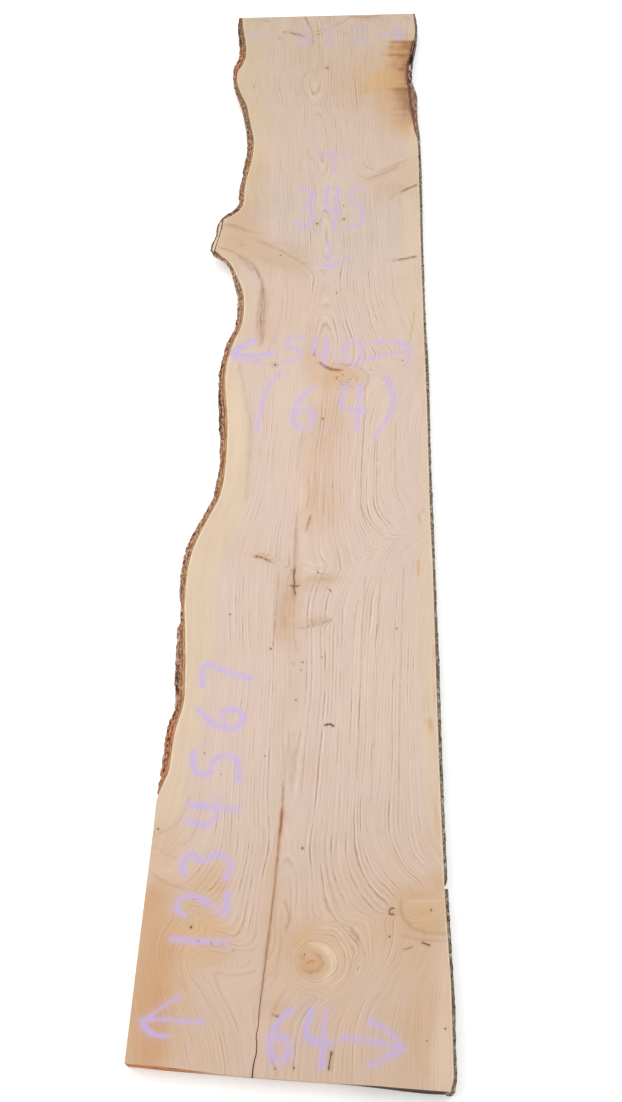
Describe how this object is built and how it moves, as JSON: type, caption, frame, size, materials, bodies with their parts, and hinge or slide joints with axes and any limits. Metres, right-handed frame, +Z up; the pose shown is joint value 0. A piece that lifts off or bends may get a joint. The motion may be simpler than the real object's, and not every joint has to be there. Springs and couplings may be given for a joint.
{
  "type": "live edge wood slab",
  "caption": "Long plain-sawn softwood slab with a wavy bark-covered live edge on one side, a straighter one on the other, and square-sawn ends.",
  "frame": {"origin": "middle of the bounding box of the slab's underside, at the height of the surface it lies on", "axes": "+Y along the slab from its wide end to its narrow end, +Z up through its thickness, +X across it, away from the wavy edge"},
  "size_m": [0.7, 3.4466, 0.0635],
  "materials": {
    "wood": "freshly sawn, dry and matt, pale cream sapwood and pinkish tan heartwood",
    "bark": "rough, orange brown inner bark under scaly darker outer bark",
    "bark_weathered": "rough, weathered dark grey brown"
  },
  "bodies": {
    "root": {"slab": "wood", "bark_left_lower": "bark", "bark_left_upper": "bark", "bark_right_lower": "bark_weathered", "bark_right_middle": "bark_weathered", "bark_right_upper": "bark_weathered"}
  },
  "joints": []
}
